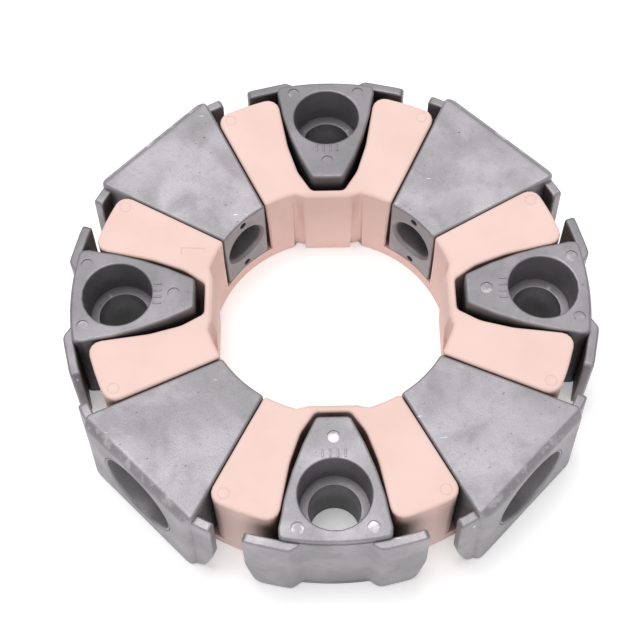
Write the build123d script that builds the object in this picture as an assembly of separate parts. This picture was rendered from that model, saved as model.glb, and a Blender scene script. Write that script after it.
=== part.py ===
from build123d import *
import os
from math import cos, radians, sin, sqrt, tan

# Flexible segment element of a jaw-type coupling. All lengths are millimetres.
# The ring's axis is Z, the underside is z = 0 and the centre of the bore is x = y = 0.
# Inside each function the feature lies along +X and is then turned about Z to its place.

# Overall sizes.
HEIGHT = 46.0
RING_RADIUS = 95.0
BORE_RADIUS = 49.0
PITCH_RADIUS = 82.5
PLATE_RADIUS = 104.0

# Elastomer ring.
RING_TOP_FALL = 4.5
RIM_DRAFT = 1.0
PAD_CORNER = 5.0
WEB_THICKNESS = 6.0
BRIDGE_PROUD = 4.0
BRIDGE_TOP_SLOPE = 1.8
BRIDGE_SLOPE_HEIGHT = 10.0
BRIDGE_HALF_WIDTH = 9.7
BRIDGE_FOOT_HALF_WIDTH = 13.2

BRIDGE_ROOT = 2.0

# Flank of an axial pocket: share of the way from the bore to the rim, and half-width there.
POCKET_STATIONS = [(0.004, 6.6), (0.189, 12.1), (0.452, 16.1), (0.707, 18.3), (1.0, 20.9)]
POCKET_INNER_CORNER = 2.5
NEAR_SHOULDER_ROUND = 12.0
FAR_SHOULDER_ROUND = 25.0

# Axial inserts.
TIP_SHARE = 0.078
FLANK_SHARES = [0.309, 0.533, 0.758]
TIP_CLEARANCE = 2.5
RIM_CLEARANCE = 0.5
BODY_RADIUS = 100.4
TIP_CORNER = 2.0
HEEL_DRAW = 0.3
SCREW_HOLE_RADIUS = 9.75
HEAD_RADIUS = 13.4
HEAD_DEPTH = 18.5
MARK_RADIUS = 2.5
MARK_DEPTH = 0.4
MARK_FROM_FLANK = 6.8
MARK_FROM_RIM = 0.3
PLATE_INNER_RADIUS = 100.0
PLATE_DROP = 3.0
PLATE_HALF_ANGLE = 18.85
PLATE_DRAFT = 1.8
RECESS_HALF_WIDTH = 12.2
RECESS_FLARE = 3.0
END_TAPER = 3.5

# Curved plates of both kinds of insert.
PLATE_WAIST_SHARE = 0.4
PLATE_FOOT_CORNER = 4.0
PLATE_HEAD_CORNER = 1.5

# Radial inserts.
BLOCK_INNER_HALF_WIDTH = 11.3
BLOCK_FLANK_ANGLE = 18.4
BLOCK_GAP = 0.4
BLOCK_FACE = 103.3
BLOCK_FACE_DRAFT = 2.8
BLOCK_CORNER = 3.5
BLOCK_TOP_FALL = 5.0
BEVEL_WIDTH = 2.8
BEVEL_DROP = 2.6
LIP_RADIUS = 97.0
SIDE_HOLE_RADIUS = 9.0
SIDE_HOLE_HEIGHT = 24.0
SIDE_HEAD_RADIUS = 16.8
SIDE_HEAD_DEPTH = 22.0
SIDE_PLATE_RADIUS = 105.0
SIDE_PLATE_INNER_RADIUS = 101.0
SIDE_PLATE_DROP = 3.5
SIDE_PLATE_HALF_ANGLE = 19.8
SIDE_END_TAPER = 5.0
PIN_HOLE_RADIUS = 1.6
PIN_HOLE_DEPTH = 8.0
PIN_HOLE_EDGE = 3.0

# How near a corner has to lie to a wanted place to count as being there.
CORNER_REACH = 0.02

AXIAL_ANGLES = {"front": -90.0, "right": 0.0, "back": 90.0, "left": 180.0}
RADIAL_ANGLES = {
    "front_right": -45.0,
    "back_right": 45.0,
    "back_left": 135.0,
    "front_left": -135.0,
}


def at_share(share):
    """Distance from the axis at a share of the way from the bore to the rim."""
    return BORE_RADIUS + share * (RING_RADIUS - BORE_RADIUS)


def pocket_half_width(u):
    """Half-width of an axial pocket at distance u, straight between its stations."""
    stations = [(at_share(share), width) for share, width in POCKET_STATIONS]
    before = stations[0]
    after = stations[-1]
    for first, second in zip(stations, stations[1:]):
        if first[0] <= u <= second[0]:
            before, after = first, second
            break
    if u > stations[-1][0]:
        before = stations[-2]
    slope = (after[1] - before[1]) / (after[0] - before[0])
    return before[1] + slope * (u - before[0])


def insert_half_width(u):
    """Half-width of an axial insert: the pocket less a clearance that closes outwards."""
    near = at_share(FLANK_SHARES[0])
    far = at_share(FLANK_SHARES[2])
    part = min(max((u - near) / (far - near), 0.0), 1.0)
    return pocket_half_width(u) - TIP_CLEARANCE + part * (TIP_CLEARANCE - RIM_CLEARANCE)


def corners_near(sketch, points):
    """The sketch's corners that lie at the given points."""
    wanted = [Vector(x, y, 0) for x, y in points]
    found = [v for v in sketch.vertices() if any((Vector(v) - w).length < CORNER_REACH for w in wanted)]
    return ShapeList(found)


def mirrored(points):
    """The points as given, then their mirror images in the X axis in reverse order."""
    return points + [(u, -v) for u, v in reversed(points)]


def prism(points, bottom, top):
    """An upright prism on a polygon."""
    face = Face(Wire.make_polygon([(u, v, bottom) for u, v in points]))
    return extrude(face, amount=top - bottom, dir=(0, 0, 1))


def side_view_prism(points, near, far):
    """A prism along X on a polygon given as (y, z)."""
    face = Face(Wire.make_polygon([(near, v, z) for v, z in points]))
    return extrude(face, amount=far - near, dir=(1, 0, 0))


def profile_prism(points, half_width):
    """A prism along Y, centred, on a polygon given as (x, z)."""
    face = Face(Wire.make_polygon([(u, -half_width, z) for u, z in points]))
    return extrude(face, amount=2 * half_width, dir=(0, 1, 0))


def tapered(radius, draft, height):
    """A solid cone frustum on z = 0 that has the radius at HEIGHT and widens by the draft to z = 0."""
    upright = (Align.CENTER, Align.CENTER, Align.MIN)
    return Cone(radius + draft, radius + draft * (1.0 - height / HEIGHT), height, align=upright)


def turned(shape, angle):
    """The shape turned about the Z axis."""
    return Rot(0, 0, angle) * shape


def ring_top(u):
    """Height of the ring's coned top at distance u."""
    return HEIGHT - RING_TOP_FALL * (RING_RADIUS - u) / (RING_RADIUS - BORE_RADIUS)


def flank_half_width(u):
    """Half-width of a radial insert at distance u."""
    inner_u = sqrt(BORE_RADIUS**2 - BLOCK_INNER_HALF_WIDTH**2)
    return BLOCK_INNER_HALF_WIDTH + (u - inner_u) * tan(radians(BLOCK_FLANK_ANGLE))


def axial_pocket_sketch():
    """Plan of an axial pocket, open past the rim, with eased corners."""
    flank = [(at_share(share), width) for share, width in POCKET_STATIONS]
    far = 1.2 * RING_RADIUS
    outline = mirrored(flank + [(far, pocket_half_width(far))])
    sketch = make_face(Polyline(*outline, close=True))
    sketch = fillet(corners_near(sketch, mirrored(flank[:1])), POCKET_INNER_CORNER)
    sketch = fillet(corners_near(sketch, mirrored(flank[1:2])), NEAR_SHOULDER_ROUND)
    return fillet(corners_near(sketch, mirrored(flank[2:3])), FAR_SHOULDER_ROUND)


def radial_pocket_sketch():
    """Plan of the space between two pads that holds a radial insert."""
    gap = BLOCK_GAP / cos(radians(BLOCK_FLANK_ANGLE))
    near = 0.8 * BORE_RADIUS
    far = 1.2 * RING_RADIUS
    outline = [(near, flank_half_width(near) + gap), (far, flank_half_width(far) + gap)]
    return make_face(Polyline(*mirrored(outline), close=True))


def bridge_sketch():
    """Plan of the wall that closes an axial pocket towards the bore."""
    face_u = BORE_RADIUS - BRIDGE_PROUD
    foot_u = sqrt(BORE_RADIUS**2 - BRIDGE_FOOT_HALF_WIDTH**2)
    outline = [
        (face_u, BRIDGE_HALF_WIDTH),
        (foot_u, BRIDGE_FOOT_HALF_WIDTH),
        (BORE_RADIUS + BRIDGE_ROOT, BRIDGE_FOOT_HALF_WIDTH),
    ]
    return make_face(Polyline(*mirrored(outline), close=True))


def elastic_ring():
    """Eight pads joined by bridges at the bore and by webs under the radial inserts."""
    annulus = Circle(RING_RADIUS + RIM_DRAFT) - Circle(BORE_RADIUS)
    for angle in AXIAL_ANGLES.values():
        annulus = annulus + turned(bridge_sketch(), angle)
    plan = annulus
    for angle in AXIAL_ANGLES.values():
        plan = plan - turned(axial_pocket_sketch(), angle)
    lower = extrude(plan, amount=WEB_THICKNESS)
    for angle in RADIAL_ANGLES.values():
        plan = plan - turned(radial_pocket_sketch(), angle)
    foot = RING_RADIUS + RIM_DRAFT
    rim = [v for v in plan.vertices() if abs(Vector(v).length - foot) < CORNER_REACH]
    pads = extrude(fillet(ShapeList(rim), PAD_CORNER), amount=HEIGHT + 1.0)
    lower_corners = [
        e
        for e in lower.edges().filter_by(Axis.Z)
        if abs(sqrt(e.center().X ** 2 + e.center().Y ** 2) - foot) < CORNER_REACH
    ]
    lower = fillet(ShapeList(lower_corners), PAD_CORNER)
    body = pads + lower
    above = Polyline(
        (0.5 * BORE_RADIUS, 0, ring_top(0.5 * BORE_RADIUS)),
        (1.3 * RING_RADIUS, 0, ring_top(1.3 * RING_RADIUS)),
        (1.3 * RING_RADIUS, 0, 1.3 * HEIGHT),
        (0.5 * BORE_RADIUS, 0, 1.3 * HEIGHT),
        close=True,
    )
    body = body - revolve(make_face(above), Axis.Z)
    body = body & tapered(RING_RADIUS, RIM_DRAFT, HEIGHT)
    face_u = BORE_RADIUS - BRIDGE_PROUD
    lip = ring_top(face_u)
    slope = [
        (face_u, lip - BRIDGE_SLOPE_HEIGHT),
        (face_u + BRIDGE_TOP_SLOPE, lip),
        (face_u + BRIDGE_TOP_SLOPE, 1.3 * HEIGHT),
        (face_u - 3.0, 1.3 * HEIGHT),
        (face_u - 3.0, lip - BRIDGE_SLOPE_HEIGHT),
    ]
    ramp = profile_prism(slope, BRIDGE_HALF_WIDTH + 1.0)
    for angle in AXIAL_ANGLES.values():
        body = body - turned(ramp, angle)
    return body


def outer_plate(radius, inner, draft, half_angle, top, taper):
    """A thin coned plate round a block's outer face, its ends drawn in at the foot."""
    end = radius * sin(radians(half_angle))
    waist = PLATE_WAIST_SHARE * top
    outline = [(-end, top), (end, top), (end, waist), (end - taper, 0.0)]
    outline = outline + [(-end + taper, 0.0), (-end, waist)]
    window = side_view_prism(outline, 0.5 * radius, 1.2 * radius)
    feet = [e for e in window.edges().filter_by(Axis.X) if e.center().Z < 0.01]
    window = fillet(ShapeList(feet), PLATE_FOOT_CORNER)
    heads = [e for e in window.edges().filter_by(Axis.X) if e.center().Z > top - 0.01]
    window = fillet(ShapeList(heads), PLATE_HEAD_CORNER)
    return (tapered(radius, draft, top) - tapered(inner, draft, top)) & window


def axial_insert():
    """Shield-shaped insert with an upright screw hole and a curved outer plate."""
    tip = at_share(TIP_SHARE)
    flank = [(tip, insert_half_width(tip))]
    for share in FLANK_SHARES:
        flank.append((at_share(share), insert_half_width(at_share(share))))
    shoulder = RING_RADIUS + 1.0
    flank.append((shoulder, insert_half_width(RING_RADIUS)))
    heel_v = insert_half_width(RING_RADIUS) - HEEL_DRAW
    flank.append((BODY_RADIUS + PLATE_DRAFT + 2.0, heel_v))
    plan = make_face(Polyline(*mirrored(flank), close=True))
    plan = fillet(corners_near(plan, mirrored(flank[:1])), TIP_CORNER)
    plan = fillet(corners_near(plan, mirrored(flank[1:3])), NEAR_SHOULDER_ROUND)
    block = extrude(plan, amount=HEIGHT) & tapered(BODY_RADIUS, PLATE_DRAFT, HEIGHT)
    plate_top = HEIGHT - PLATE_DROP
    plate = outer_plate(
        PLATE_RADIUS, PLATE_INNER_RADIUS, PLATE_DRAFT, PLATE_HALF_ANGLE, plate_top, END_TAPER
    )
    thickness = PLATE_RADIUS - PLATE_INNER_RADIUS
    recess = [
        (PLATE_INNER_RADIUS - 4.0, RECESS_HALF_WIDTH - RECESS_FLARE),
        (PLATE_INNER_RADIUS - 1.0, RECESS_HALF_WIDTH),
        (PLATE_RADIUS + PLATE_DRAFT + 2.0, RECESS_HALF_WIDTH + thickness + PLATE_DRAFT + RECESS_FLARE),
    ]
    plate = plate - prism(mirrored(recess), -1.0, HEIGHT)
    body = block + plate
    floor = HEIGHT - HEAD_DEPTH
    upright = (Align.CENTER, Align.CENTER, Align.MIN)
    body = body - Pos(PITCH_RADIUS, 0, -1) * Cylinder(SCREW_HOLE_RADIUS, HEIGHT + 2, align=upright)
    body = body - Pos(PITCH_RADIUS, 0, floor) * Cylinder(HEAD_RADIUS, HEAD_DEPTH + 1, align=upright)
    mark_v = insert_half_width(RING_RADIUS) - MARK_FROM_FLANK
    marks = [
        (0.5 * (tip + PITCH_RADIUS - HEAD_RADIUS) - 1.0, 0.0),
        (RING_RADIUS - MARK_FROM_RIM, mark_v),
        (RING_RADIUS - MARK_FROM_RIM, -mark_v),
    ]
    for u, v in marks:
        mark = Cylinder(MARK_RADIUS, 1.0, align=upright)
        body = body - Pos(u, v, HEIGHT - MARK_DEPTH) * mark
    return body


def radial_insert():
    """Wedge-shaped insert that sits on a web, with a radial screw hole."""
    near = 0.9 * BORE_RADIUS
    foot = BLOCK_FACE + BLOCK_FACE_DRAFT
    far = foot + 5.0
    outline = [(near, flank_half_width(near)), (far, flank_half_width(far))]
    plan = make_face(Polyline(*mirrored(outline), close=True))
    plan = plan - Circle(BORE_RADIUS)
    lean = BLOCK_FACE_DRAFT / HEIGHT
    front = [
        (foot + lean, -1.0),
        (BLOCK_FACE - lean, HEIGHT + 1.0),
        (BLOCK_FACE + 20.0, HEIGHT + 1.0),
        (BLOCK_FACE + 20.0, -1.0),
    ]
    front = profile_prism(front, BLOCK_FACE)
    block = extrude(plan, amount=HEIGHT) - front
    corners = [
        e
        for e in block.edges()
        if e.center().X > BLOCK_FACE - 1.0 and e.length > 0.9 * HEIGHT and abs(e.center().Y) > 5.0
    ]
    block = fillet(ShapeList(corners), BLOCK_CORNER)
    plate_top = HEIGHT - SIDE_PLATE_DROP
    plate = outer_plate(
        SIDE_PLATE_RADIUS,
        SIDE_PLATE_INNER_RADIUS,
        BLOCK_FACE_DRAFT,
        SIDE_PLATE_HALF_ANGLE,
        plate_top,
        SIDE_END_TAPER,
    )
    window = BLOCK_FACE - BEVEL_WIDTH
    middle = [
        (0.8 * BLOCK_FACE, 0.6 * flank_half_width(BLOCK_FACE)),
        (1.2 * BLOCK_FACE, 0.6 * flank_half_width(BLOCK_FACE)),
    ]
    plate = plate - prism(mirrored(middle), -1.0, HEIGHT)
    body = block + (plate - front)
    body = body - Pos(0, 0, -1) * Cylinder(
        LIP_RADIUS, WEB_THICKNESS + 1, align=(Align.CENTER, Align.CENTER, Align.MIN)
    )
    fall = BLOCK_TOP_FALL / (window - BORE_RADIUS)
    above = [
        (0.5 * BORE_RADIUS, HEIGHT - fall * (window - 0.5 * BORE_RADIUS)),
        (window, HEIGHT),
        (window + 2.0 * BEVEL_WIDTH, HEIGHT - 2.0 * BEVEL_DROP),
        (window + 2.0 * BEVEL_WIDTH, 1.3 * HEIGHT),
        (0.5 * BORE_RADIUS, 1.3 * HEIGHT),
    ]
    body = body - profile_prism(above, BLOCK_FACE)
    along = Rot(0, 90, 0)
    hole = Cylinder(SIDE_HOLE_RADIUS, 2.0 * BLOCK_FACE)
    body = body - Pos(BLOCK_FACE, 0, SIDE_HOLE_HEIGHT) * along * hole
    head = Cylinder(SIDE_HEAD_RADIUS, 2.0 * SIDE_HEAD_DEPTH)
    body = body - Pos(BLOCK_FACE, 0, SIDE_HOLE_HEIGHT) * along * head
    inner_top = HEIGHT - BLOCK_TOP_FALL
    for height in (WEB_THICKNESS + PIN_HOLE_EDGE, inner_top - PIN_HOLE_EDGE):
        pin = Cylinder(PIN_HOLE_RADIUS, 2.0 * PIN_HOLE_DEPTH)
        body = body - Pos(BORE_RADIUS, 0, height) * along * pin
    return body


def save(shape, name):
    """Write one piece, which must be a single solid, to its STEP file."""
    solids = shape.solids()
    if len(solids) != 1:
        raise ValueError(f"{name} has {len(solids)} solids")
    solid = solids[0]
    solid.label = name
    export_step(solid, f"parts/{name}.step")


save(elastic_ring(), "elastic_ring")
axial = axial_insert()
for side, angle in AXIAL_ANGLES.items():
    save(turned(axial, angle), f"axial_insert_{side}")
radial = radial_insert()
for side, angle in RADIAL_ANGLES.items():
    save(turned(radial, angle), f"radial_insert_{side}")
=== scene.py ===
import math

import bmesh
import bpy
import numpy as np
from bpy.props import FloatProperty, FloatVectorProperty, PointerProperty
from bpy.types import Operator, Panel, PropertyGroup
from mathutils import Matrix, Quaternion, Vector


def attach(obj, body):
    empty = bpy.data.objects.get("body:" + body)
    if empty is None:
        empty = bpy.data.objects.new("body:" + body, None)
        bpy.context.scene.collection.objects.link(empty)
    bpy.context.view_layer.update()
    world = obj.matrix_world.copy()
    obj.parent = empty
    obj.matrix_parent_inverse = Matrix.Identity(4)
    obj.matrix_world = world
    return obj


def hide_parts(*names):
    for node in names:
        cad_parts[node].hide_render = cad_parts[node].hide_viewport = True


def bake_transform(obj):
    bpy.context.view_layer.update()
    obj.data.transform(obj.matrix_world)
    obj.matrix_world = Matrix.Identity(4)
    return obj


bl_info = {
    "name": "Jaw coupling element",
    "version": (1, 0, 0),
    "blender": (4, 5, 0),
    "location": "View3D > Sidebar > Coupling",
    "description": "Builds the elastomer ring and the cast inserts of a flexible coupling",
    "category": "Add Mesh",
}

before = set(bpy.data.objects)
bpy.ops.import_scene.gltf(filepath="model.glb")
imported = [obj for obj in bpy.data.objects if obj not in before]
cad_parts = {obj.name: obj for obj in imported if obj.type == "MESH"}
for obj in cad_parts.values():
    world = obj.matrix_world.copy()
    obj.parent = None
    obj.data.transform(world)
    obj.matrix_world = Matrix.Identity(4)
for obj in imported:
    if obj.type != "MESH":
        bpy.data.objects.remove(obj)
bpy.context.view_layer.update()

MM = 0.001
AXIAL_ANGLES = {"front": -90.0, "right": 0.0, "back": 90.0, "left": 180.0}
RADIAL_ANGLES = {
    "front_right": -45.0,
    "back_right": 45.0,
    "back_left": 135.0,
    "front_left": -135.0,
}
# How light each axial insert is coloured, and how bright its ejector marks are.
AXIAL_TONES = {
    "front": (0.92, 0.62),
    "right": (0.84, 0.30),
    "back": (0.78, 0.25),
    "left": (0.74, 0.25),
}
# Places of the three ejector discs on an axial insert's top, and heights of the pin holes in a
# radial insert's inner face, in millimetres.
EJECTORS = [(60.6, 0.0), (95.0, -13.5), (95.0, 13.5)]
PIN_HEIGHTS = [9.0, 38.0]
# Place of the faint ejector ring on each pad, from the nearest axial insert's axis, in metres.
PAD_MARK = (0.0815, 0.0398)
# Opposite corners of the two arms of the faint mark that a tooling plate left on one pad, in
# metres.
TOOL_MARK = [((-0.0589, 0.0217), (-0.0494, 0.0222)), ((-0.0589, 0.0190), (-0.0584, 0.0222))]
# Flank of an axial pocket: share of the way from bore to rim, half-width there in millimetres.
STATIONS = np.array([(0.004, 6.6), (0.189, 12.1), (0.452, 16.1), (0.707, 18.3), (1.0, 20.9)])

# Sizes below are in millimetres and angles in degrees. Shares are of the way from bore to rim.
RING_TOP_FALL = 4.5
WEB_TOP = 6.0
BRIDGE_PROUD = 4.0
BRIDGE_HALF_WIDTH = 9.7
BRIDGE_FOOT_HALF_WIDTH = 13.2
GROOVE_ANGLE = 1.8
TIP_SHARE = 0.078
FLANK_SHARES = (0.309, 0.533, 0.758)
TIP_CLEARANCE = 2.5
RIM_CLEARANCE = 0.5
AXIAL_OUTER = 100.4
HEAD_DEPTH = 18.5
STROKE_HEIGHT = 0.3
BLOCK_INNER_HALF_WIDTH = 11.3
FLANK_ANGLE = 18.4
BLOCK_GAP = 0.4
BLOCK_CORNER = 3.5
BLOCK_TOP_FALL = 5.0
BEVEL_WIDTH = 2.8
BEVEL_DROP = 2.6
LIP_DISTANCE = 95.6
SIDE_HOLE_HEIGHT = 24.0
SIDE_HEAD_DEPTH = 22.0
PLATE_EDGE = 0.9
PLATE_FOOT = 4.2
PLATE_HEAD = 1.6
WING_START = 19.5
WING_PLAIN_END = 24.0

# Stage, in metres and watts: each light's name, place and power, and the camera's azimuth,
# elevation and roll in degrees.
FLOOR_REACH = 3.0
FLOOR_GLOW = 0.3
LIGHTS = [("key", (-0.15, 0.25, 1.5), 14.5), ("front", (0.1, -1.1, 0.9), 2.4)]
LIGHT_WIDTH = 0.9
SKY_STRENGTH = 0.49
CAMERA_ANGLES = (-0.14, 62.81, -0.91)
CAMERA_TARGET = (-0.00417, -0.0130, 0.046)
CAMERA_DISTANCE = 0.4672
CAMERA_LENS = 68.8


# ---------------------------------------------------------------- curves and surfaces


def smooth(edge0, edge1, x):
    """0 below edge0, 1 above edge1, and 3t^2 - 2t^3 between them."""
    t = np.clip((x - edge0) / (edge1 - edge0), 0.0, 1.0)
    return t * t * (3.0 - 2.0 * t)


def rounded_loop(corners, radii, arc=4, run=3):
    """Closed loop on a counter-clockwise polygon whose corners are arcs tangent to both edges.

    The tangent length is r / tan(half the corner's angle), and the arc's centre lies on the
    bisector at r / sin(half). Each corner gives arc + 1 points and then `run` points on the
    straight to the next. Returns points and outward normals, both (corners, arc + 1 + run, 2).
    """
    p = np.asarray(corners, float)
    r = np.broadcast_to(np.asarray(radii, float), len(p))[:, None]
    back = np.roll(p, 1, 0) - p
    ahead = np.roll(p, -1, 0) - p
    back /= np.linalg.norm(back, axis=1, keepdims=True)
    ahead /= np.linalg.norm(ahead, axis=1, keepdims=True)
    half = 0.5 * np.arccos(np.clip((back * ahead).sum(1, keepdims=True), -1.0, 1.0))
    first = np.arctan2(back[:, 0], -back[:, 1])
    second = np.arctan2(-ahead[:, 0], ahead[:, 1])
    turn = (second - first + math.pi) % (2.0 * math.pi) - math.pi
    middle = back + ahead
    middle /= np.maximum(np.linalg.norm(middle, axis=1, keepdims=True), 1e-9)
    centre = p + middle * r / np.maximum(np.sin(half), 1e-6)
    angle = first[:, None] + turn[:, None] * np.linspace(0.0, 1.0, arc + 1)
    normal = np.stack([np.cos(angle), np.sin(angle)], -1)
    arcs = centre[:, None] + np.sign(turn)[:, None, None] * r[:, None] * normal
    share = np.linspace(0.0, 1.0, run + 2)[1:-1][None, :, None]
    stop = np.roll(arcs[:, 0], -1, 0)
    lines = arcs[:, -1:] * (1.0 - share) + stop[:, None] * share
    points = np.concatenate([arcs, lines], 1)
    normals = np.concatenate([normal, np.repeat(normal[:, -1:], run, 1)], 1)
    return points, normals


def edge_profile(bottom, top, low, high, steps=4, rows=5):
    """Insets and heights up a wall with quarter-rounds of radius low and high at its ends.

    `rows` is how many even rows lie between the rounds, or a list of their shares of the way up.
    """
    a = np.linspace(0.0, math.pi / 2.0, steps + 1)[:, None]
    wide = np.zeros(np.broadcast(np.atleast_1d(bottom), np.atleast_1d(top)).shape)[None]
    bottom = bottom + wide
    top = top + wide
    if isinstance(rows, int):
        rows = np.linspace(0.0, 1.0, rows + 2)[1:-1]
    mid = np.array(rows)[:, None]
    start = bottom + low
    stop = top - high
    lower = bottom + low * (1 - np.cos(a))
    heights = [lower, start + mid * (stop - start), stop + high * np.sin(a)]
    zero = np.zeros_like(heights[1])
    insets = [low * (1 - np.sin(a)) + wide, zero, high * (1 - np.cos(a)) + wide]
    return np.concatenate(insets), np.concatenate(heights)


def wall(points, normals, insets, heights):
    """Rows of a closed loop, each moved inwards along its normals by an inset, at a height."""
    shape = (np.shape(insets)[0], len(points))
    inset = np.broadcast_to(insets, shape)
    height = np.broadcast_to(heights, shape)
    xy = points[None] - normals[None] * inset[..., None]
    grid = np.concatenate([xy, height[..., None]], -1)
    return np.concatenate([grid, grid[:, :1]], 1)


def between(a, b, rows):
    """Straight lines from one row of points to another, cut into even steps."""
    share = np.linspace(0.0, 1.0, rows)[:, None, None]
    return a[None] * (1.0 - share) + b[None] * share


def fill(loop, ends, sides):
    """Transfinite patch in a closed loop that runs end, side, end, side from its first point.

    A point is the straight blend of the two sides at its place, plus each end's bow away
    from its chord, which dies out quickly along the sides.
    """
    e1 = loop[: ends + 1]
    s2 = loop[ends : ends + sides + 1]
    e2 = loop[ends + sides : 2 * ends + sides + 1][::-1]
    s1 = np.concatenate([loop[2 * ends + sides :], loop[:1]])[::-1]
    t = np.linspace(0.0, 1.0, ends + 1)[None, :, None]
    s = np.linspace(0.0, 1.0, sides + 1)[:, None, None]
    bow1 = e1[None] - (1 - t) * e1[0] - t * e1[-1]
    bow2 = e2[None] - (1 - t) * e2[0] - t * e2[-1]
    return (1 - t) * s1[:, None] + t * s2[:, None] + (1 - s) ** 10 * bow1 + s**10 * bow2


def lathe(centre, angles, radii, heights):
    """Surface of turning about the upright axis at x = centre: a radius and a height per row."""
    r = np.asarray(radii, float)[:, None]
    z = np.asarray(heights, float)[:, None] + 0 * angles[None]
    x = centre + r * np.cos(angles)[None]
    grid = np.stack([x, r * np.sin(angles)[None], z], -1)
    return np.concatenate([grid, grid[:, :1]], 1)


def at_share(size, share):
    """Distance from the axis at a share of the way from the bore to the rim."""
    return size.bore + share * (size.rim - size.bore)


def pocket_half_width(size, u):
    """Half-width of an axial pocket at distance u, straight between its stations."""
    return np.interp(u, at_share(size, STATIONS[:, 0]), STATIONS[:, 1])


def insert_half_width(size, u):
    """Half-width of an axial insert: the pocket less a clearance that closes outwards."""
    near = at_share(size, FLANK_SHARES[0])
    far = at_share(size, FLANK_SHARES[2])
    part = np.clip((u - near) / (far - near), 0.0, 1.0)
    return pocket_half_width(size, u) - TIP_CLEARANCE + part * (TIP_CLEARANCE - RIM_CLEARANCE)


def flank_half_width(size, u):
    """Half-width of a radial insert at distance u."""
    inner_u = math.sqrt(size.bore**2 - BLOCK_INNER_HALF_WIDTH**2)
    return BLOCK_INNER_HALF_WIDTH + (u - inner_u) * math.tan(math.radians(FLANK_ANGLE))


def ring_top(size, r):
    """Height of the ring's coned top at distance r."""
    return size.height - RING_TOP_FALL * (size.rim - r) / (size.rim - size.bore)


class Sizes:
    """The frame's sizes in millimetres, read from the scene's settings."""

    def __init__(self, settings):
        self.height = settings.height / MM
        self.rim = settings.rim_radius / MM
        self.bore = settings.bore_radius / MM
        self.pitch = settings.pitch_radius / MM
        self.plate = settings.plate_radius / MM
        self.side_plate = settings.side_plate_radius / MM
        self.face = settings.face_distance / MM
        self.rim_draft = settings.rim_draft / MM
        self.plate_draft = settings.plate_draft / MM
        self.face_draft = settings.face_draft / MM
        self.bridge_slope_height = settings.bridge_slope_height / MM


# ---------------------------------------------------------------- shapes


def axial_block(size):
    """Shield-shaped block: a rounded plan swept up and joined at both ends to its stepped hole.

    Its outer end lies on a cylinder, so a point there moves in by R - sqrt(R^2 - v^2).
    """
    u = at_share(size, np.array([TIP_SHARE, *FLANK_SHARES, 1.0]))
    v = insert_half_width(size, u)
    outer = AXIAL_OUTER
    corners = [(u[0], -v[0]), (u[1], -v[1]), (u[2], -v[2]), (u[3], -v[3])]
    corners += [(u[4] + 1.0, -v[4]), (outer, -v[4] + 0.3), (outer, v[4] - 0.3), (u[4] + 1.0, v[4])]
    corners += [(u[3], v[3]), (u[2], v[2]), (u[1], v[1]), (u[0], v[0])]
    radii = [2.2, 14.0, 20.0, 30.0, 8.0, 1.6, 1.6, 8.0, 30.0, 20.0, 14.0, 2.2]
    points, normals = rounded_loop(corners, radii, 5, 6)
    points = points.reshape(-1, 2)
    normals = normals.reshape(-1, 2)
    bow = outer - np.sqrt(outer**2 - points[:, 1] ** 2)
    points[:, 0] -= bow * smooth(90.0, outer, points[:, 0])
    face = size.height - STROKE_HEIGHT
    insets, heights = edge_profile(0.0, face, 0.6, 0.9, 5, 6)
    side = wall(points, normals, insets, heights)
    angles = np.arctan2(points[:, 1], points[:, 0] - size.pitch)
    floor = size.height - HEAD_DEPTH
    # Radius and height down the hole: the recess's rim, its floor and the screw hole's mouth.
    rim = [(14.0, 0.0), (13.75, -0.08), (13.5, -0.3), (13.4, -0.7)]
    seat = [(13.4, 0.5), (13.3, 0.2), (13.1, 0.0), (10.15, 0.0), (9.85, -0.15), (9.75, -0.5)]
    mouth = [(9.75, 0.5), (9.85, 0.15), (10.15, 0.0)]
    base = [face] * len(rim) + [floor] * len(seat) + [0.0] * len(mouth)
    profile = np.array(rim + seat + mouth)
    hole = lathe(size.pitch, angles, profile[:, 0], np.array(base) + profile[:, 1])
    top = between(side[-1], hole[0], 14)
    under = between(hole[-1], side[0], 8)
    return [side, top, hole, under]


def quarter_round(radius, depth):
    """How far a rounded edge lies back: r - sqrt(r^2 - (r - depth)^2), and 0 beyond depth r."""
    reach = np.maximum(radius - depth, 0.0)
    return radius - np.sqrt(np.maximum(radius**2 - reach**2, 0.0))


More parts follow.
